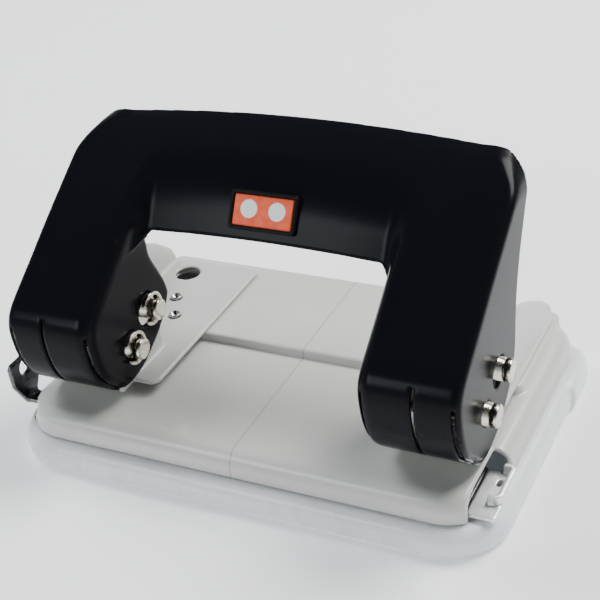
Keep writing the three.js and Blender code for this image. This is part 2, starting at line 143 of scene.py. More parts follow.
def inside_outline(points, u, v):
    """Distance to a closed outline: to its nearest side, and negative where the sides enclose it."""
    nearest = np.inf
    enclosed = False
    for (au, av), (bu, bv) in zip(points, points[1:] + points[:1]):
        eu, ev = bu - au, bv - av
        along = np.clip(((u - au) * eu + (v - av) * ev) / (eu * eu + ev * ev), 0, 1)
        nearest = np.minimum(nearest, (u - au - eu * along) ** 2 + (v - av - ev * along) ** 2)
        crosses = (av > v) != (bv > v)
        enclosed = enclosed ^ (crosses & (u < au + eu * (v - av) / (ev if ev else 1e-9)))
    return np.where(enclosed, -1, 1) * np.sqrt(nearest)


def through(points, steps):
    """A smooth line through all the points: each stretch is a cubic that leaves every point in
    the direction of the chord between its two neighbours."""
    p = np.array(points, float)
    p = np.vstack([2 * p[0] - p[1], p, 2 * p[-1] - p[-2]])
    t = np.linspace(0, 1, steps, endpoint=False)[:, None]
    line = []
    for a, b, c, d in zip(p, p[1:], p[2:], p[3:]):
        bend = (-a + 3 * b - 3 * c + d) * t**3 + (2 * a - 5 * b + 4 * c - d) * t**2
        line.append(0.5 * (bend + (c - a) * t + 2 * b))
    return [tuple(q) for q in np.vstack(line + [p[-2:-1]])]


print("distance tools ready")

# %% [markdown]
# ## From a formula to a mesh
#
# The mesher lays a grid over the part. Every cell that the skin passes through gets one vertex at
# the middle of the skin's crossings of the cell's edges, and every grid edge that crosses the skin
# gets one four-sided face between the four cells around it. Each vertex then slides down the
# formula's slope until the distance there is nothing, so it lies on the true skin.


# %% The mesher
def slope(field, p, reach=0.02):
    """The formula's gradient at the points p, from its change over `reach` each way."""
    parts = []
    for axis in range(3):
        step = np.zeros(3)
        step[axis] = reach
        parts.append((field(*(p + step).T) - field(*(p - step).T)) / (2 * reach))
    return np.stack(parts, 1)


def cell_vertices(axes, values, crossing, step):
    """For each cell that the skin crosses, the mean of the crossings on its twelve edges."""
    total = np.zeros((*crossing.shape, 3))
    count = np.zeros(crossing.shape)
    size = np.array(values.shape)
    for axis in range(3):
        lo = [slice(None)] * 3
        hi = [slice(None)] * 3
        lo[axis], hi[axis] = slice(None, -1), slice(1, None)
        v0, v1 = values[tuple(lo)], values[tuple(hi)]
        change = (v0 < 0) != (v1 < 0)
        share = np.where(change, v0 / np.where(change, v0 - v1, 1), 0)
        others = [other for other in range(3) if other != axis]
        for i in (0, 1):
            for j in (0, 1):
                pick = [slice(None)] * 3
                pick[others[0]] = slice(i, size[others[0]] - 1 + i)
                pick[others[1]] = slice(j, size[others[1]] - 1 + j)
                hit = change[tuple(pick)]
                count += hit
                total[..., axis] += np.where(hit, share[tuple(pick)], 0)
                total[..., others[0]] += hit * i
                total[..., others[1]] += hit * j
    cells = np.argwhere(crossing)
    low = np.array([axis[0] for axis in axes])
    return low + step * (cells + total[crossing] / count[crossing][:, None])


def edge_faces(inside, number):
    """One face for each grid edge whose two ends lie on either side of the skin."""
    faces = []
    for axis in range(3):
        lo, hi = [slice(1, -1)] * 3, [slice(1, -1)] * 3
        lo[axis], hi[axis] = slice(None, -1), slice(1, None)
        first, second = inside[tuple(lo)], inside[tuple(hi)]
        at = np.argwhere(first != second)
        out = first[first != second]
        u, v = (axis + 1) % 3, (axis + 2) % 3
        at[:, u] += 1
        at[:, v] += 1
        ring = []
        for du, dv in ((1, 1), (0, 1), (0, 0), (1, 0)):
            cell = at.copy()
            cell[:, u] -= du
            cell[:, v] -= dv
            ring.append(number[tuple(cell.T)])
        quad = np.stack(ring, 1)
        quad[~out] = quad[~out][:, ::-1]
        faces.append(quad)
    return np.vstack(faces)


def skin(field, low, high, step):
    """The vertices and faces of the surface where the formula is zero, between two corners."""
    axes = [np.arange(a - step, b + 2 * step, step) for a, b in zip(low, high)]
    x, y, z = (axes[0][:, None, None], axes[1][None, :, None], axes[2][None, None, :])
    shape = tuple(len(axis) for axis in axes)
    values = np.broadcast_to(field(x, y, z), shape)
    inside = values < 0
    full = sum(
        inside[i:shape[0] - 1 + i, j:shape[1] - 1 + j, k:shape[2] - 1 + k].astype(int)
        for i in (0, 1) for j in (0, 1) for k in (0, 1)
    )
    crossing = (full > 0) & (full < 8)
    number = np.full(crossing.shape, -1)
    number[crossing] = np.arange(crossing.sum())
    points = cell_vertices(axes, values, crossing, step)
    for _ in range(4):
        gradient = slope(field, points)
        steepness = np.maximum((gradient**2).sum(1), 0.25)
        move = -(field(*points.T) / steepness)[:, None] * gradient
        points = points + np.clip(move, -0.3 * step, 0.3 * step)
    return points, edge_faces(inside, number)


print("mesher ready")

# %% [markdown]
# ## From a mesh to a piece
#
# Every piece sits at the origin, with its place in its mesh. It rides on one body of the frame, takes a
# finish by the name of its slot, and stands for the frame's part of the same name.

# %% Add a piece
PIECES = {}


def add_piece(name, points, faces, body, slot):
    """Makes one object from points in mm. `name` is the part that it stands for, and `_skin`."""
    mesh = bpy.data.meshes.new(name)
    mesh.from_pydata((points * MM).tolist(), [], faces)
    mesh.update()
    mesh.shade_smooth()
    piece = bpy.data.objects.new(name, mesh)
    bpy.context.scene.collection.objects.link(piece)
    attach(piece, body)
    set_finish(piece, slot)
    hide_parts(name.replace("_skin", ""))
    PIECES[name] = piece
    print(f"{name}: {len(points)} vertices, {len(faces)} faces")
    return piece


def add_formula(name, field, low, high, step, body, slot):
    """Meshes a distance formula between two corners, on a grid of `step` mm, as a piece."""
    points, faces = skin(field, low, high, step)
    return add_piece(name, points, faces.tolist(), body, slot)


print("pieces can be added")

# %% [markdown]
# ## Sizes from the frame
#
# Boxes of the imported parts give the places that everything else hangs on. `LEG_X` is the line of the
# punches in a leg, and `INNER_X` the leg's side towards the fingers. A place on a pin's line is a pair:
# how far back it is and how high.


# %% Sizes
def box_mm(node):
    """A part's lowest and highest corners in millimetres."""
    low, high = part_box(node)
    return np.array(low) / MM, np.array(high) / MM


def middle(node):
    """The middle of a part's box in millimetres."""
    low, high = box_mm(node)
    return (low + high) / 2


LEVER_X = box_mm("handle_shell")[1][0]
LEG_X = middle("punch_right")[0]
INNER_X = 28.6
SHEET = 1.0
SIDES = (("left", -1), ("right", 1))
PUNCH = middle("punch_pin_right")[1:]
FULCRUM = middle("fulcrum_pin_right")[1:]
PIN_INNER = box_mm("fulcrum_pin_right")[0][0]
PIN_OUTER = box_mm("fulcrum_pin_right")[1][0]
PIN_R = 2.3
BASE_X, BASE_BACK, STEP_Z = box_mm("base_plate")[1]
PLAN_Y = (box_mm("base_plate")[0][1] + BASE_BACK) / 2
DECK_Z = box_mm("die_right")[1][2]
SKIRT_Z = box_mm("base_plate")[0][2]
TRAY_X, TRAY_BACK, TRAY_Z = box_mm("chip_tray")[1]
FOOT_Z = box_mm("punch_frame_right")[0][2]
GAUGE_LOW, GAUGE_HIGH = box_mm("gauge_bar")
print("lever half width", round(LEVER_X, 1), "punch line", round(LEG_X, 1), "bed", round(DECK_Z, 1))

# %% [markdown]
# ## The lever
#
# One sheet of steel, folded and painted. Folding a flat mesh would need new corners wherever two folds
# meet. The formula starts from a solid block with the lever's side outline instead, rounds its outer
# folds, takes out the space for the fingers, and keeps only the outermost millimetre as sheet. The
# rear edges then trim that sheet, and slits and pin holes pierce it.

# %% The lever's outlines
FRONT = [
    (-25, 16.6), (-28.2, 20), (-30.2, 24.5), (-31, 29.5), (-30.8, 33), (-29.6, 35.5), (-27, 37.8),
    (-19.2, 43), (-12.1, 47.8), (-4.8, 52.5), (0.1, 55.6), (4, 58), (7.3, 59.9), (10.6, 61.4),
    (14, 62.2),
]
OUTER_REAR = [
    (14, 61.4), (13, 60), (11.9, 58.2), (10.6, 56), (9, 53.2), (7.4, 50.1), (4.4, 43.8),
    (1.9, 36), (0.6, 27.7), (-0.5, 24.3), (-3.2, 20.2), (-5.8, 17.9), (-10.5, 14.9),
    (-16.5, 13.4), (-21, 13.8), (-25, 16.6),
]
INNER_REAR = [
    (-6, 44.6), (-5.6, 42), (-5.4, 40), (-5.2, 37.1), (-3.1, 32.3), (-1.9, 29.4), (-1.2, 26.4),
    (-1.7, 24.9), (-4.5, 21.5), (-7.7, 19), (-10.6, 17.5), (-13.3, 16.2), (-17.4, 15.3),
    (-21.8, 15.6), (-25, 16.6),
]
LIP = np.array([-7.5, 44.6])
LIP_BACK = -5.4
FOLD = np.array([-1, 54.9])
BRIDGE_BACK = 14
FRONT_LINE = through(FRONT, 10)
BLOCK = FRONT_LINE + [(45, 62.2), (45, -20), (-19.5, -20)]
OUTER_KEEP = through(OUTER_REAR, 4) + [(-60, 16.6), (-60, 90), (14, 90)]
INNER_KEEP = through(INNER_REAR, 4) + [(-60, 16.6), (-60, 60), (-6, 60)]
BAND_ACROSS = (FOLD - LIP) / np.linalg.norm(FOLD - LIP)
SLIT_TOPS = ((LEG_X, 35.0), (INNER_X + 1.3, 32.5), (LEVER_X - 1.3, 32.5))
SLIT_BACK = -23.4
SLIT_R = 0.32
print("lever outlines:", len(BLOCK), "+", len(OUTER_KEEP), "+", len(INNER_KEEP), "points")

# %% The lever's formula
CROWN = 2
CROWN_HALF = 39
CROWN_FADE = (-28, -5)
FINGER_CORNER = 3
SIDE_FOLD = 1.6
REAR_EXTRA = 6
INNER_FOLD = 3.2
SLOT_START = 0.86


def ease(value, low, high):
    """0 up to low, 1 from high, and a smooth S between: 3 t squared less 2 t cubed."""
    t = np.clip((value - low) / (high - low), 0, 1)
    return t * t * (3 - 2 * t)


def crown(x, y):
    """How far the top bulges: a parabola across the bridge, which fades out towards the chin."""
    return CROWN * np.maximum(1 - (x / CROWN_HALF) ** 2, 0) * ease(y, *CROWN_FADE)


def finger_space(x, y, z):
    """Between the legs, and either in front of the slanting band or below it."""
    between = np.abs(x) - INNER_X
    before_band = (y - LIP[0]) * BAND_ACROSS[1] - (z - LIP[1]) * BAND_ACROSS[0]
    below_lip = np.maximum(between, z - LIP[1] + FINGER_CORNER)
    return np.minimum(round_max(between, before_band, FINGER_CORNER), below_lip)


def kept_sheet(x, y, z):
    """What stays of the folded sheet: the lip over the fingers and two outlines for each leg."""
    ax = np.abs(x)
    lip = LIP[1] - np.clip(ax - INNER_X + FINGER_CORNER, 0, FINGER_CORNER)
    over_fingers = np.maximum(lip - z, y - np.where(z < LIP[1] + 1, LIP_BACK, BRIDGE_BACK))
    inner = np.minimum(over_fingers, np.maximum(INNER_X - 0.2 - ax, inside_outline(INNER_KEEP, y, z)))
    return np.where(ax < SLIT_TOPS[1][0], inner, inside_outline(OUTER_KEEP, y, z))


def lever_field(x, y, z):
    """Rounded block, less the finger space, shelled to sheet, trimmed, slit and pierced."""
    ax = np.abs(x)
    level = z - crown(x, y)
    fold = SIDE_FOLD + REAR_EXTRA * ease(y, 2, BRIDGE_BACK)
    outside = round_max(inside_outline(BLOCK, y, level), ax - LEVER_X, fold)
    solid = round_max(outside, -finger_space(x, y, level), INNER_FOLD)
    sheet = np.abs(solid + SHEET / 2) - SHEET / 2
    sheet = round_max(sheet, kept_sheet(x, y, level), 0.45)
    for line, top in SLIT_TOPS:
        slit = np.maximum(capsule(ax, z, (line, 0), (line, top), SLIT_R), y - SLIT_BACK)
        sheet = round_max(sheet, -slit, 0.15)
    sheet = round_max(sheet, PIN_R + 0.2 - np.hypot(y - FULCRUM[0], z - FULCRUM[1]), 0.2)
    near = FULCRUM + (PUNCH - FULCRUM) * SLOT_START
    return round_max(sheet, -capsule(y, z, near, PUNCH, PIN_R + 0.35), 0.2)


add_formula("handle_shell_skin", lever_field, (-49.3, -31.6, 12.8), (49.3, 14.6, 64.6), 0.44,
            "lever", "lever_black")

# %% [markdown]
# ## The badge
#
# A coloured tile in a raised black frame lies on the band over the fingers. Two bevelled boxes could
# be turned to the band's slope. Here their distances are measured in the band's own directions, across
# x, up the slope, and out from it, so both lie on the lever by themselves.


# %% The badge's frame and tile
BAND_MIDDLE = (LIP + FOLD) / 2 + np.array([0, CROWN])
BADGE = (14.7, 7.9)
BORDER = 0.75
TILE_GAP = 0.08


def band_axes(x, y, z):
    """A point's place on the band: sideways, up the slope and out of its surface."""
    dy, dz = y - BAND_MIDDLE[0], z - BAND_MIDDLE[1]
    up = dy * BAND_ACROSS[0] + dz * BAND_ACROSS[1]
    out = dz * BAND_ACROSS[0] - dy * BAND_ACROSS[1]
    return x, up, out


def badge_frame_field(x, y, z):
    """A rounded rectangle with a rectangular window, one millimetre tall."""
    side, up, out = band_axes(x, y, z)
    frame_plan = np.maximum(
        round_rect(side, up, BADGE[0] / 2, BADGE[1] / 2, 0.8),
        -round_rect(side, up, BADGE[0] / 2 - BORDER, BADGE[1] / 2 - BORDER, 0.3),
    )
    return round_max(frame_plan, slab(out, 0.05, 1.0), 0.25)


def badge_plate_field(x, y, z):
    """The tile: it fills the window and is slightly pillowed towards its edges."""
    side, up, out = band_axes(x, y, z)
    inset = BORDER + TILE_GAP
    plan = round_rect(side, up, BADGE[0] / 2 - inset, BADGE[1] / 2 - inset, 0.3)
    return round_max(plan, slab(out, 0.05, 0.78), 0.2)


BADGE_LOW, BADGE_HIGH = box_mm("badge_frame")
for name, field, slot in (("badge_frame", badge_frame_field, "badge_black"),
                          ("badge_plate", badge_plate_field, "badge_orange")):
    add_formula(f"{name}_skin", field, BADGE_LOW - 0.3, BADGE_HIGH + 0.3, 0.15, "lever", slot)

# %% [markdown]
# ## The base plate
#
# A shallow pan of sheet steel turned upside down, with a raised deck at the back. The riser between
# the two levels stops the paper. Two extruded outlines would meet in a sharp seam, and a pressed sheet
# has none, so the two solids are joined with a small fillet and only then made hollow. The gauge
# passes through a notch on the right and a window on the left, and the dies and rivets have holes.

# %% The base plate
STEP_Y = 3.5
HALF_Y = BASE_BACK - PLAN_Y
BASE_CORNER = 9.5
BASE_EDGE = 3.6
BASE_SHEET = 1
RAISED = (BASE_X - BASE_EDGE, BASE_BACK - 2)
DIE_HOLE = 4.7
FOOT_HOLE = (40.4, 24, 3)
RIVETS = [middle(f"rivet_right_{i}")[:2] for i in (1, 2)]
RIVET_HOLE = 1.2
GAUGE_WAY = 48.6
WINDOW_TOP = 10.2


def base_field(x, y, z):
    """Rounded pan joined to the rounded raised deck, shelled, then opened below and pierced."""
    pan = round_max(round_rect(x, y - PLAN_Y, BASE_X, HALF_Y, BASE_CORNER), z - DECK_Z, BASE_EDGE)
    half = (RAISED[1] - STEP_Y) / 2
    deck_plan = round_rect(x, y - STEP_Y - half, RAISED[0], half, 2.5)
    deck = round_max(deck_plan, z - STEP_Z, 0.7)
    solid = round_min(pan, deck, 0.6)
    sheet = np.abs(solid + BASE_SHEET / 2) - BASE_SHEET / 2
    sheet = round_max(sheet, SKIRT_Z - z, 0.3)
    ax = np.abs(x)
    sheet = round_max(sheet, DIE_HOLE - np.hypot(ax - LEG_X, y - PUNCH[0]), 0.2)
    sheet = round_max(sheet, FOOT_HOLE[2] + 0.3 - np.hypot(ax - FOOT_HOLE[0], y - FOOT_HOLE[1]), 0.2)
    for rx, ry in RIVETS:
        sheet = np.maximum(sheet, RIVET_HOLE - np.hypot(ax - rx, y - ry))
    gap = slab(y, GAUGE_LOW[1] - 1, GAUGE_HIGH[1] + 0.6)
    notch = np.maximum(GAUGE_WAY - x, gap)
    window = np.maximum(np.maximum(x + GAUGE_WAY, gap), z - WINDOW_TOP)
    return round_max(round_max(sheet, -notch, 0.3), -window, 0.3)


add_formula("base_plate_skin", base_field, (-52.6, -32, 5.8), (52.6, 35.4, 14.2), 0.55,
            "base", "deck_grey")

# %% [markdown]
# ## The chip tray
#
# It catches the punched discs. It is moulded in translucent plastic, with a broad rounded shoulder just
# under the base plate's skirt, and its rear end is slightly wider, as a grip for pulling it off. One
# rounded outline, moved inwards by different amounts, gives its outside, its pocket and its mouth.

# %% The chip tray
GRIP = 0.8
GRIP_FRONT = 17.5
TRAY_CORNER = 12.3
SHOULDER = 2.6
TRAY_WALL = 1.4
TRAY_FLOOR = 1.6
MOUTH_Z = 4.4
MOUTH_INSET = 4.1


def tray_plan(x, y, inset):
    """The tray's rounded outline, moved inwards by `inset`."""
    half_x, half_y = TRAY_X - GRIP - inset, TRAY_BACK - PLAN_Y - inset
    return round_rect(x, y - PLAN_Y, half_x, half_y, TRAY_CORNER - inset)


def tray_field(x, y, z):
    """Rounded box, wider behind, with a pocket whose mouth is narrower than the pocket itself."""
    wide = round_max(tray_plan(x, y, -GRIP), GRIP_FRONT - y, 0.5)
    plan = np.minimum(tray_plan(x, y, 0), np.maximum(wide, y - TRAY_BACK + 4))
    solid = round_max(round_max(plan, z - TRAY_Z, SHOULDER), -z, 1.4)
    room = round_max(tray_plan(x, y, TRAY_WALL), z - MOUTH_Z, 0.8)
    pocket = np.minimum(room, tray_plan(x, y, MOUTH_INSET))
    return round_max(solid, -round_max(pocket, TRAY_FLOOR - z, 0.8), 0.3)


add_formula("chip_tray_skin", tray_field, (-56.2, -34.8, -0.4), (56.2, 38.2, 6.2), 0.6,
            "tray", "tray_white")

# %% [markdown]
# ## The punch frames
#
# They hold the punches upright and carry the lever's pins. Each frame is a foot with two upright
# walls. The outer wall runs back to the rear of the deck and its top edge falls away behind the lever.
# The inner wall stays hidden behind the lever. All three are one bent sheet, so their formulas are
# joined with a fillet before they are pierced.

# %% The punch frames
WALL_FRONT = -21.6
OUTER_WALL = [
    (WALL_FRONT, 14.2), (28.8, 14.2), (29, 16.2), (27.8, 18.6), (22.7, 22.8), (12.8, 28.6),
    (6, 31.6), (-1, 33.4), (-14, 33.4), (-19, 31), (WALL_FRONT, 26.5),
]
INNER_WALL = [
    (WALL_FRONT, 14.2), (-5, 14.2), (-4.2, 27), (-6.5, 32), (-10, 33.4), (-15, 33.4), (-19, 31),
    (WALL_FRONT, 26.5),
]
WALL = 1.2
FOOT_T = 0.9
FOOT_INNER = 24
FOOT_MIDDLE, FOOT_HALF = 6, 24
GUIDE_R = 3.15
STROKE = 4.1


def frame_field(x, y, z):
    """Foot and two walls, filleted together, then pierced for the punch, the pins and the rivets."""
    ax = np.abs(x)
    outer_x = LEVER_X - SHEET - 0.4
    inner_x = INNER_X + SHEET + 0.4
    across = ax - (FOOT_INNER + outer_x) / 2
    foot_plan = round_rect(across, y - FOOT_MIDDLE, (outer_x - FOOT_INNER) / 2, FOOT_HALF, 2.2)
    toe = np.maximum(slab(ax, inner_x, outer_x), slab(y, WALL_FRONT, 0))
    foot = round_max(np.minimum(foot_plan, toe), slab(z, FOOT_Z, FOOT_Z + FOOT_T), 0.3)
    outer = round_max(inside_outline(OUTER_WALL, y, z), slab(ax, outer_x - WALL, outer_x), 0.35)
    inner = round_max(inside_outline(INNER_WALL, y, z), slab(ax, inner_x, inner_x + WALL), 0.35)
    metal = round_min(round_min(foot, outer, 1.0), inner, 1.0)
    metal = round_max(metal, GUIDE_R - np.hypot(ax - LEG_X, y - PUNCH[0]), 0.2)
    metal = round_max(metal, FOOT_HOLE[2] - np.hypot(ax - FOOT_HOLE[0], y - FOOT_HOLE[1]), 0.3)
    for rx, ry in RIVETS:
        metal = np.maximum(metal, RIVET_HOLE - np.hypot(ax - rx, y - ry))
    metal = round_max(metal, PIN_R + 0.15 - np.hypot(y - FULCRUM[0], z - FULCRUM[1]), 0.2)
    low = (PUNCH[0], PUNCH[1] - STROKE)
    return round_max(metal, -capsule(y, z, low, tuple(PUNCH), PIN_R + 0.25), 0.2)


for side, sign in SIDES:
    near, far = sorted((sign * 23.6, sign * 48.2))
    add_formula(f"punch_frame_{side}_skin", frame_field, (near, -22.2, 13.6), (far, 30.6, 34), 0.45,
                "base", "frame_grey")

# %% [markdown]
# ## The paper gauge
#
# It sets where the sheet of paper's edge stops. It is a steel bar that slides sideways under the bed,
# with a stop folded up at its left end. The finger pull at the right end is a plated plate with a
# pressed-up rim. Both are thin sheets, so each is an outline kept between two heights, joined to what
# is folded up from it.

# %% The gauge bar and its finger pull
STOP = [
    (-22.6, 6.3), (-19.2, 6.3), (-16.2, 11.5), (-16, 16.4), (-16.9, 17.3), (-24.7, 17.3),
    (-25.6, 16.4), (-25.4, 11.5),
]
NECK = (-22.8, -19)
STOP_HOLE = (-20.8, 14.6, 1.9)
PULL_LOW, PULL_HIGH = box_mm("gauge_pull")


def gauge_field(x, y, z):
    """A flat bar that narrows to a neck, filleted into the upright stop, which has one round hole."""
    left = GAUGE_LOW[0]
    wide = np.maximum(slab(x, left + 6.6, GAUGE_HIGH[0]), slab(y, GAUGE_LOW[1], GAUGE_HIGH[1]))
    neck = np.maximum(slab(x, left + 1, left + 8), slab(y, *NECK))
    bar = round_max(round_min(wide, neck, 0.8), slab(z, GAUGE_LOW[2], GAUGE_LOW[2] + 1), 0.3)
    stop = round_max(inside_outline(STOP, y, z), slab(x, left, left + 1.2), 0.35)
    hole = STOP_HOLE[2] - np.hypot(y - STOP_HOLE[0], z - STOP_HOLE[1]) + 0 * x
    return round_max(round_min(bar, stop, 0.8), hole, 0.2)


def pull_field(x, y, z):
    """A plate with a rim along its outer edge and round two corners, and a small hole through it."""
    half = (PULL_HIGH - PULL_LOW) / 2
    mid = (PULL_HIGH + PULL_LOW) / 2
    plan = round_rect(x - mid[0], y - mid[1], half[0], half[1], 0.8)
    plate = round_max(plan, slab(z, PULL_LOW[2], PULL_LOW[2] + 1), 0.25)
    cup = round_rect(x - PULL_HIGH[0] + 3, y - mid[1] - 1.8, 3, half[1] - 1.8, 1.6)
    rim_plan = np.maximum(np.abs(cup + 0.5) - 0.5, PULL_HIGH[0] - 2.6 - x)
    rim = round_max(rim_plan, slab(z, PULL_LOW[2], PULL_HIGH[2]), 0.3)
    hole = capsule(x, y, (mid[0] + 0.4, mid[1] + 2.6), (mid[0] + 0.4, mid[1] + 3.6), 0.45)
    return round_max(round_min(plate, rim, 0.5), -hole, 0.15)


add_formula("gauge_bar_skin", gauge_field, GAUGE_LOW - 0.4, GAUGE_HIGH + 0.4, 0.35,
            "gauge", "gauge_steel")
add_formula("gauge_pull_skin", pull_field, PULL_LOW - 0.3, PULL_HIGH + 0.3, 0.18,
            "gauge", "gauge_chrome")

# %% [markdown]
# ## Turned parts
#
# Pins, punches, dies, washers and rivets come off a lathe, so each is a profile of (radius, place
# along the axis) turned through a full circle. That gives even rings of faces and sharp grooves, for
# far fewer faces than a formula would. The profile starts and ends beside the axis, where a flat cap
# closes it, or closes on itself when the part is a ring.


# %% The lathe
def tube_faces(rings, sides, closed=False):
    """Four-sided faces between neighbouring rings of `sides` points: a point and the next one on its
    ring, then the same two on the ring beyond. A closed tube also joins its last ring to its first."""
    i, j = np.meshgrid(np.arange(rings if closed else rings - 1), np.arange(sides), indexing="ij")
    here, beyond, k = i * sides, (i + 1) % rings * sides, (j + 1) % sides
    return np.stack([here + j, here + k, beyond + k, beyond + j], -1).reshape(-1, 4)


def end_caps(rings, sides):
    """One many-sided face over the first ring and one over the last."""
    last = (rings - 1) * sides
    return [list(range(sides))[::-1], list(range(last, last + sides))]


def lathe(profile, origin, axis, sides=56, closed=False):
    """Points and faces of a profile turned about `axis` ("x" or "z") through `origin`. Each of its
    points becomes a ring: radius times cosine and radius times sine, at its place along the axis."""
    radius, along = np.array(profile, float).T[:, :, None]
    angles = np.linspace(0, 2 * np.pi, sides, endpoint=False)
    c, s, a = radius * np.cos(angles), radius * np.sin(angles), along + 0 * angles
    points = np.stack([a, c, s] if axis == "x" else [c, s, a], -1).reshape(-1, 3) + np.array(origin)
    faces = tube_faces(len(profile), sides, closed).tolist()
    if not closed:
        faces += end_caps(len(profile), sides)
    return points, faces


def pin_profile(x0, x1, groove):
    """A pin with bevelled ends and a groove that its ring snaps into, `groove` from the start."""
    r = PIN_R
    return [
        (0.4, x0), (r - 0.35, x0), (r - 0.1, x0 + 0.12), (r, x0 + 0.4), (r, x0 + groove),
        (r - 0.35, x0 + groove + 0.02), (r - 0.35, x0 + groove + 1.0), (r, x0 + groove + 1.02),
        (r, x1 - 1.9), (r - 0.3, x1 - 1.8), (r - 0.3, x1 - 1.5), (r, x1 - 1.4), (r, x1 - 0.4),
        (r - 0.1, x1 - 0.12), (r - 0.35, x1), (0.4, x1),
    ]


def mirrored(profile, sign):
    """The same profile on the other side of the punch, listed so that its faces still point out."""
    return profile if sign > 0 else [(r, -a) for r, a in profile[::-1]]


print("lathe ready")

# %% [markdown]
# ## Retaining rings and springs
#
# A retaining ring is flat, open at the front, with three inward lugs that grip the pin's groove, so it
# is a formula again. A spring is a wire swept along a helix. A bevelled curve could make it too, but
# worked out here, its end turns lie nearly flat.


# %% Rings and springs
RING_X = (27.4, 28.2)
RING_IN, RING_OUT = 2.95, 3.7


def ring_field(sign, pin):
    """The formula of the ring on one pin, on the finger side of a leg: a flat band less a mouth at
    the front, joined to three lugs that point at the pin."""
    x0, x1 = sorted(sign * x for x in RING_X)

    def field(x, y, z):
        dy, dz = y - pin[0], z - pin[1]
        radius = np.hypot(dy, dz)
        band = np.maximum(radius - RING_OUT, RING_IN - radius)
        for turn in (90, -90, 0):
            c, s = math.cos(math.radians(turn)), math.sin(math.radians(turn))
            lug = np.maximum(np.abs(dz * c - dy * s) - 0.65, slab(dy * c + dz * s, 2.42, 3.3))
            band = round_min(band, lug, 0.4)
        mouth = np.maximum(np.abs(dz) - 1.9, dy + 0.5)
        return round_max(round_max(band, -mouth, 0.3), slab(x, x0, x1), 0.2)

    return field


FLAT_END = 0.16
LIFT = 0.49


def spring_surface(x, y, z0, z1, coil, wire, turns, steps=260, sides=12):
    """A wire of radius `wire` along a helix. It climbs by `LIFT` evenly, and makes the rest of its
    height in the middle, so the end turns lie nearly flat. The wire's rings run the other way round
    than a lathe's, so its faces are listed the other way to point out."""
    t = np.linspace(0, 1, steps)
    climb = np.clip((t - FLAT_END) / (1 - 2 * FLAT_END), 0, 1)
    angle = t * turns * 2 * np.pi
    height = z0 + wire + (z1 - z0 - 2 * wire - LIFT) * climb + LIFT * t
    around = np.linspace(0, 2 * np.pi, sides, endpoint=False)
    radius = coil + wire * np.cos(around)[None, :]
    px = x + radius * np.cos(angle)[:, None]
    py = y + radius * np.sin(angle)[:, None]
    pz = height[:, None] + wire * np.sin(around)[None, :]
    points = np.stack([px, py, pz], -1).reshape(-1, 3)
    quads = tube_faces(steps, sides)[:, [0, 3, 2, 1]].tolist()
    return points, quads + [cap[::-1] for cap in end_caps(steps, sides)]


print("rings and springs ready")

# %% [markdown]
# ## Both punch units
#
# The same loop builds the small parts of the left and the right leg. Each return spring stands on its
# frame's foot.

# %% The parts of each leg
SPRING_R, SPRING_WIRE, SPRING_TURNS = 4.15, 0.42, 5
GROOVE = 1.7

for side, sign in SIDES:
    unit = f"punch_unit_{side}"
    spot = (sign * LEG_X, PUNCH[0], 0)
    for part, pin, body in (("fulcrum", FULCRUM, "base"), ("punch", PUNCH, unit)):
        profile = mirrored(pin_profile(PIN_INNER, PIN_OUTER, GROOVE), sign)
        add_piece(f"{part}_pin_{side}_skin", *lathe(profile, (0, *pin), "x"), body, "pin_nickel")
        low = np.array([min(sign * x for x in RING_X), pin[0] - 4, pin[1] - 4])
        add_formula(f"{part}_ring_{side}_skin", ring_field(sign, pin), low - 0.2,
                    low + np.array([1.0, 8.2, 8.2]), 0.14, body, "pin_nickel")

    tip, head = (corner[2] for corner in box_mm(f"punch_{side}"))
    rod = [(0.2, tip + 0.9), (1.5, tip + 0.55), (2.9, tip), (3, tip + 0.15), (3, head - 0.6),
           (2.85, head - 0.2), (2.5, head), (0.2, head)]
    add_piece(f"punch_{side}_skin", *lathe(rod, spot, "z"), unit, "steel")

    low, high = box_mm(f"spring_washer_{side}")
    washer = [(3.2, low[2] + 0.1), (3.3, low[2]), (4.9, low[2]), (5, low[2] + 0.1),
              (5, high[2] - 0.1), (4.9, high[2]), (3.3, high[2]), (3.2, high[2] - 0.1)]
    add_piece(f"spring_washer_{side}_skin", *lathe(washer, spot, "z", closed=True), unit, "steel")

    low, high = box_mm(f"die_{side}")
    hoop = [(3.15, low[2]), (4.4, low[2]), (4.4, high[2] - 0.1), (4.3, high[2]), (3.25, high[2]),
            (3.15, high[2] - 0.1)]
    add_piece(f"die_{side}_skin", *lathe(hoop, spot, "z", closed=True), "base", "steel")

    low, high = box_mm(f"return_spring_{side}")
    spring = spring_surface(spot[0], spot[1], low[2], high[2], SPRING_R, SPRING_WIRE, SPRING_TURNS)
    coil = add_piece(f"return_spring_{side}_skin", *spring, "base", "steel")
    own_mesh(coil)

    for i in (1, 2):
        low, high = box_mm(f"rivet_{side}_{i}")
        at = middle(f"rivet_{side}_{i}")
        r = (high[0] - low[0]) / 2
        bore = 0.6 * r
        rivet = [(0.05, low[2]), (r - 0.1, low[2]), (r, low[2] + 0.15), (r, low[2] + 0.55),
                 (0.9, low[2] + 0.6), (0.9, high[2] - 0.6), (r * 0.9, high[2] - 0.5),
                 (r * 0.85, high[2] - 0.15), (bore + 0.25, high[2]), (bore, high[2] - 0.1),
                 (bore * 0.8, high[2] - 0.7), (0.05, high[2] - 0.75)]
        add_piece(f"rivet_{side}_{i}_skin", *lathe(rivet, (at[0], at[1], 0), "z", sides=36),
                  "base", "steel")

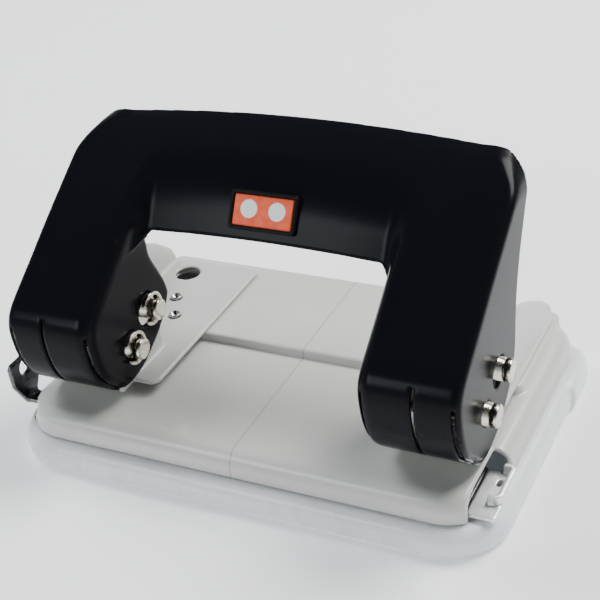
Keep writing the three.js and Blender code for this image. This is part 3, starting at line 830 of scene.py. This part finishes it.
# %% [markdown]
# ## Materials
#
# Every finish starts from the same small graph: object coordinates feed a coarse noise that shifts
# the colour and gloss a little from place to place, and most finishes add a fine noise that roughens
# the surface. Paint shows lighter on its sharp edges and may have a clear coat. Ground steel and the
# gauge's bar stretch the fine noise along one axis. Painted pictures would need every piece unwrapped,
# and noise in object coordinates has no seams.


# %% Tools for finishes
def start_material(name, color, roughness, metallic):
    """A principled surface with its constants set, and the node that gives object coordinates."""
    material = bpy.data.materials.new(name)
    material.use_nodes = True
    nodes = material.node_tree.nodes
    shader = nodes["Principled BSDF"]
    shader.inputs["Base Color"].default_value = (*color, 1)
    shader.inputs["Roughness"].default_value = roughness
    shader.inputs["Metallic"].default_value = metallic
    return material, shader, nodes.new("ShaderNodeTexCoord").outputs["Object"]


def noise(material, where, scale, detail=3, stretch=(1, 1, 1)):
    """A noise between 0 and 1, with `scale` waves per metre, stretched along an axis if wanted."""
    tree = material.node_tree
    mapping = tree.nodes.new("ShaderNodeMapping")
    mapping.inputs["Scale"].default_value = stretch
    tree.links.new(where, mapping.inputs["Vector"])
    texture = tree.nodes.new("ShaderNodeTexNoise")
    texture.inputs["Scale"].default_value = scale
    texture.inputs["Detail"].default_value = detail
    tree.links.new(mapping.outputs["Vector"], texture.inputs["Vector"])
    return texture.outputs["Fac"]


def spread(material, value, low, high, start=0.35, end=0.65):
    """Maps the middle of a noise to the range from low to high."""
    node = material.node_tree.nodes.new("ShaderNodeMapRange")
    for key, number in (("From Min", start), ("From Max", end), ("To Min", low), ("To Max", high)):
        node.inputs[key].default_value = number
    material.node_tree.links.new(value, node.inputs["Value"])
    return node.outputs["Result"]


def blend_colors(material, factor, first, second):
    """The first colour where the factor is 0 and the second where it is 1. Either may be a socket."""
    tree = material.node_tree
    mix = tree.nodes.new("ShaderNodeMix")
    mix.data_type = "RGBA"
    tree.links.new(factor, mix.inputs["Factor"])
    for key, color in (("A", first), ("B", second)):
        socket = next(s for s in mix.inputs if s.name == key and s.type == "RGBA")
        if isinstance(color, tuple):
            socket.default_value = (*color, 1)
        else:
            tree.links.new(color, socket)
    return next(s for s in mix.outputs if s.type == "RGBA")


def bump(material, shader, height, strength, distance):
    """Roughens the surface: `height` from 0 to 1 stands for `distance` metres."""
    tree = material.node_tree
    node = tree.nodes.new("ShaderNodeBump")
    node.inputs["Strength"].default_value = strength
    node.inputs["Distance"].default_value = distance
    tree.links.new(height, node.inputs["Height"])
    tree.links.new(node.outputs["Normal"], shader.inputs["Normal"])


def painted(name, color, worn, roughness, coat, peel, mirror=0.5):
    """Sprayed paint: slow colour drift, lighter worn edges, faint orange peel, `coat` of clear coat,
    and `mirror` for how strongly the paint itself mirrors."""
    material, shader, where = start_material(name, color, roughness, 0)
    link = material.node_tree.links.new
    drift = spread(material, noise(material, where, 60), 0, 1)
    shade = blend_colors(material, drift, color, tuple(c * 0.95 for c in color))
    geometry = material.node_tree.nodes.new("ShaderNodeNewGeometry")
    edges = spread(material, geometry.outputs["Pointiness"], 0, 0.35, 0.56, 0.66)
    link(blend_colors(material, edges, shade, worn), shader.inputs["Base Color"])
    gloss = noise(material, where, 60, 2)
    link(spread(material, gloss, roughness * 0.96, roughness * 1.05), shader.inputs["Roughness"])
    shader.inputs["Specular IOR Level"].default_value = mirror
    shader.inputs["Coat Weight"].default_value = coat
    shader.inputs["Coat Roughness"].default_value = 0.08
    bump(material, shader, noise(material, where, 900, 2), peel, 0.00004)
    return material


def metal(name, color, roughness, stretch=(1, 1, 1), grain=0.25):
    """Bare or plated metal: fine lines along the stretched axis and a few duller patches."""
    material, shader, where = start_material(name, color, roughness, 1)
    link = material.node_tree.links.new
    patches = spread(material, noise(material, where, 220, 4), 0, 1)
    link(blend_colors(material, patches, color, tuple(c * 0.82 for c in color)),
         shader.inputs["Base Color"])
    lines = noise(material, where, 2600, 3, stretch)
    link(spread(material, lines, roughness * 0.75, roughness * 1.4), shader.inputs["Roughness"])
    bump(material, shader, lines, grain, 0.00003)
    return material


print("tools for finishes ready")

# %% [markdown]
# Three finishes need something more: the bed has a fine centre line of painted shade that stands for a
# groove, the tray lets light into the plastic, and the badge carries two plain dots, one for each hole.


# %% The ten finishes
DOT_X = 3.1
DOT_Z = BAND_MIDDLE[1] + 0.4


def bed_paint():
    """The frame's paint with a thin darker line along the middle of the bed: painted shade for a
    groove.
    """
    material = painted("bed_paint", (0.60, 0.60, 0.565), (0.75, 0.75, 0.73), 0.34, 0.25, 0.12)
    tree = material.node_tree
    shader = tree.nodes["Principled BSDF"]
    where = tree.nodes["Texture Coordinate"].outputs["Object"]
    split = tree.nodes.new("ShaderNodeSeparateXYZ")
    tree.links.new(where, split.inputs["Vector"])
    size = tree.nodes.new("ShaderNodeMath")
    size.operation = "ABSOLUTE"
    tree.links.new(split.outputs["X"], size.inputs[0])
    # Painted shade: the mesh has no groove here, so this darker line stands for the shade inside one.
    groove = spread(material, size.outputs["Value"], 1, 0, 0.0001, 0.00028)
    paint = shader.inputs["Base Color"].links[0].from_socket
    line = blend_colors(material, groove, paint, (0.42, 0.42, 0.4))
    tree.links.new(line, shader.inputs["Base Color"])
    return material


def tray_plastic():
    """Milky polystyrene: light scatters a few millimetres inside, and the skin is semi-gloss."""
    material, shader, where = start_material("tray_plastic", (0.86, 0.9, 0.94), 0.28, 0)
    link = material.node_tree.links.new
    cloud = spread(material, noise(material, where, 45, 2), 0, 1)
    link(blend_colors(material, cloud, (0.87, 0.905, 0.94), (0.855, 0.89, 0.925)),
         shader.inputs["Base Color"])
    link(spread(material, noise(material, where, 120, 2), 0.26, 0.3), shader.inputs["Roughness"])
    shader.inputs["Subsurface Weight"].default_value = 0.35
    shader.inputs["Subsurface Radius"].default_value = (0.004, 0.0045, 0.005)
    shader.inputs["Subsurface Scale"].default_value = 1.0
    return material


def badge_enamel():
    """Orange enamel with two white dots. Each dot is the part of the tile within 2 mm of a centre."""
    orange = (0.88, 0.105, 0.03)
    material, shader, where = start_material("badge_enamel", orange, 0.3, 0)
    tree = material.node_tree
    paint = blend_colors(material, spread(material, noise(material, where, 400), 0, 1), orange,
                         (0.8, 0.09, 0.025))
    for x in (-DOT_X, DOT_X):
        away = tree.nodes.new("ShaderNodeVectorMath")
        away.operation = "DISTANCE"
        away.inputs[1].default_value = (x * MM, BAND_MIDDLE[0] * MM, DOT_Z * MM)
        tree.links.new(where, away.inputs[0])
        dot = spread(material, away.outputs["Value"], 1, 0, 0.00185, 0.002)
        paint = blend_colors(material, dot, paint, (0.85, 0.85, 0.84))
    tree.links.new(paint, shader.inputs["Base Color"])
    shader.inputs["Specular IOR Level"].default_value = 0.15
    tree.links.new(spread(material, noise(material, where, 900), 0.22, 0.4), shader.inputs["Roughness"])
    bump(material, shader, noise(material, where, 1800), 0.15, 0.00003)
    return material


FINISHES = {
    "lever_black": painted("lever_paint", (0.005, 0.005, 0.007), (0.02, 0.02, 0.024), 0.22, 0, 0.04,
                           mirror=0.07),
    "badge_black": painted("badge_rubber", (0.006, 0.006, 0.006), (0.012, 0.012, 0.012), 0.45, 0, 0.3,
                           mirror=0.1),
    "badge_orange": badge_enamel(),
    "deck_grey": bed_paint(),
    "frame_grey": painted("frame_paint", (0.56, 0.56, 0.54), (0.72, 0.72, 0.7), 0.36, 0.2, 0.15),
    "tray_white": tray_plastic(),
    "gauge_steel": metal("gauge_blackened", (0.16, 0.165, 0.17), 0.32, (0.1, 1, 1)),
    "gauge_chrome": metal("gauge_plating", (0.95, 0.955, 0.97), 0.4, (1, 1, 1), 0.02),
    "pin_nickel": metal("pin_plating", (0.72, 0.67, 0.58), 0.2, (1, 1, 1), 0.12),
    "steel": metal("ground_steel", (0.55, 0.55, 0.55), 0.28, (1, 1, 0.15)),
}

for piece in PIECES.values():
    piece.data.materials.append(FINISHES[piece["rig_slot"]])
print("finishes:", ", ".join(FINISHES))

# %% [markdown]
# ## Floor and light
#
# A pale floor and three square lamps: the key, behind and to the right, makes the soft shadows, the
# fill on the left is kept out of the paint's reflections, and a small front lamp lights the legs. The
# sky is bright near the horizon and dark overhead. The dark part is what the lever's sloping front
# mirrors, and the bright part shows in its steeper folds.

# %% The floor, the lamps and the sky
def add_floor():
    """A large flat sheet just under the tray, whose faint glow varies a little from place to place."""
    mesh = bpy.data.meshes.new("floor")
    mesh.from_pydata([(-3, -3, -0.0002), (3, -3, -0.0002), (3, 3, -0.0002), (-3, 3, -0.0002)], [],
                     [(0, 1, 2, 3)])
    floor = bpy.data.objects.new("floor", mesh)
    bpy.context.scene.collection.objects.link(floor)
    material, shader, where = start_material("floor_paper", (0.93, 0.93, 0.93), 0.7, 0)
    shader.inputs["Emission Color"].default_value = (1, 1, 1, 1)
    glow = spread(material, noise(material, where, 40), 0.28, 0.3)
    material.node_tree.links.new(glow, shader.inputs["Emission Strength"])
    mesh.materials.append(material)
    return floor


def add_lamp(name, place, size, watts, color=(1, 1, 1), mirrored_in_paint=True):
    """A square lamp at `place`, in metres, that faces the punch. It may be kept out of mirrors."""
    data = bpy.data.lights.new(name, "AREA")
    data.size = size
    data.energy = watts
    data.color = color
    lamp = bpy.data.objects.new(name, data)
    lamp.visible_glossy = mirrored_in_paint
    bpy.context.scene.collection.objects.link(lamp)
    toward = Vector((0, 0, 0.03)) - Vector(place)
    lamp.matrix_world = Matrix.Translation(place) @ toward.to_track_quat("-Z", "Y").to_matrix().to_4x4()
    return lamp


def set_sky():
    """A sky whose brightness depends only on the height above the horizon."""
    world = bpy.data.worlds.new("sky")
    world.use_nodes = True
    tree = world.node_tree
    where = tree.nodes.new("ShaderNodeTexCoord").outputs["Generated"]
    split = tree.nodes.new("ShaderNodeSeparateXYZ")
    tree.links.new(where, split.inputs["Vector"])
    ramp = tree.nodes.new("ShaderNodeValToRGB")
    stops = ((0.0, 0.9), (0.25, 0.5), (0.45, 0.25), (0.6, 0.02), (1.0, 0.02))
    while len(ramp.color_ramp.elements) < len(stops):
        ramp.color_ramp.elements.new(0.5)
    for element, (place, level) in zip(ramp.color_ramp.elements, stops):
        element.position = place
        element.color = (level * 0.93, level * 0.97, level, 1)
    tree.links.new(split.outputs["Z"], ramp.inputs["Fac"])
    background = tree.nodes["Background"]
    background.inputs["Strength"].default_value = 1.0
    tree.links.new(ramp.outputs["Color"], background.inputs["Color"])
    bpy.context.scene.world = world


add_floor()
add_lamp("key", (0.35, 0.45, 0.75), 0.5, 14)
add_lamp("fill", (-0.55, 0.15, 0.7), 0.4, 6, (0.93, 0.97, 1), mirrored_in_paint=False)
add_lamp("front", (-0.4, -0.68, 0.52), 0.3, 2.5, (0.9, 0.95, 1))
set_sky()
print("stage set")
